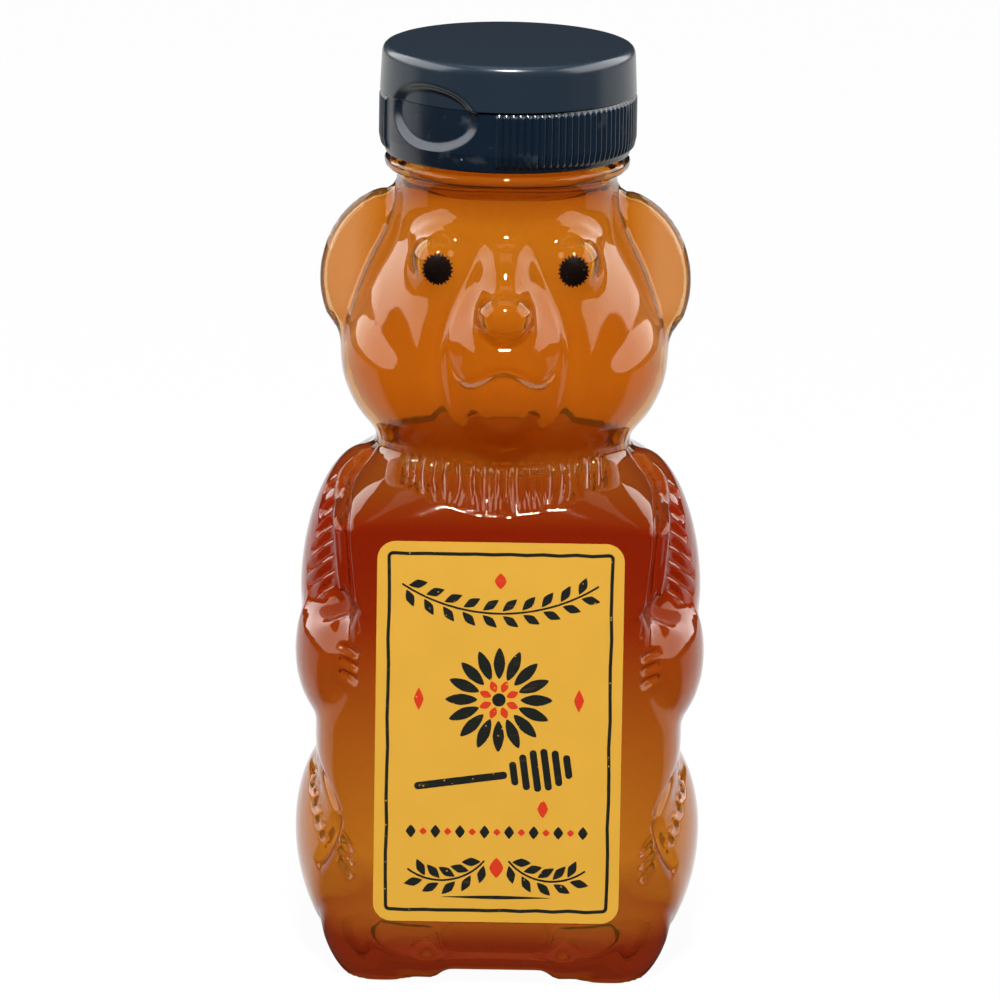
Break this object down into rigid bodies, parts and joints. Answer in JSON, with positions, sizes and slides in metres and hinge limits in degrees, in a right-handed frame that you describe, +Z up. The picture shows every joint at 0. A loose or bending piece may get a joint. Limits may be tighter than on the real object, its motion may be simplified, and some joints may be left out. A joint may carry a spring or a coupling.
{
  "type": "honey bear bottle",
  "caption": "Clear bear-shaped squeeze bottle filled with honey, with a paper label and a screw-on flip-top cap whose lid swings on a living hinge.",
  "frame": {"origin": "on the axis of the neck, on the plane that the bottle stands on", "axes": "+Z up along the neck's axis, -Y toward the bear's front, +X toward the right of a viewer who faces the bear"},
  "size_m": [0.067, 0.0575, 0.1522],
  "materials": {
    "clear_plastic": "clear amber blow-moulded plastic, glossy",
    "honey": "clear dark amber liquid",
    "label_paper": "coated label paper, satin",
    "eye_ink": "printed dark ink",
    "cap_plastic": "moulded navy plastic, semi-gloss",
    "seal_foam": "pressed foam"
  },
  "bodies": {
    "bottle": {"bear_bottle": "clear_plastic", "honey": "honey", "front_label": "label_paper", "right_pupil": "eye_ink", "left_pupil": "eye_ink"},
    "seal": {"seal_disc": "seal_foam"},
    "cap": {"cap_base": "cap_plastic", "living_hinge": "cap_plastic"},
    "lid": {"flip_lid": "cap_plastic"}
  },
  "joints": [
    {"name": "cap_lift", "type": "slide", "parent": "bottle", "child": "seal", "axis": [0, 0, 1], "range_m": [0, 0.0128]},
    {"name": "cap_turn", "type": "hinge", "parent": "seal", "child": "cap", "pos_m": [0, 0, 0.14], "axis": [0, 0, 1], "range_deg": [0, 1080]},
    {"name": "lid_flip", "type": "hinge", "parent": "cap", "child": "lid", "pos_m": [0.01277, 0.01578, 0.14455], "axis": [-0.7771, 0.6293, 0], "range_deg": [0, 170], "deforming": ["living_hinge"]}
  ],
  "couplings": [
    {"joint": "cap_lift", "follows": "cap_turn", "m_per_rad": 0.0006737}
  ]
}
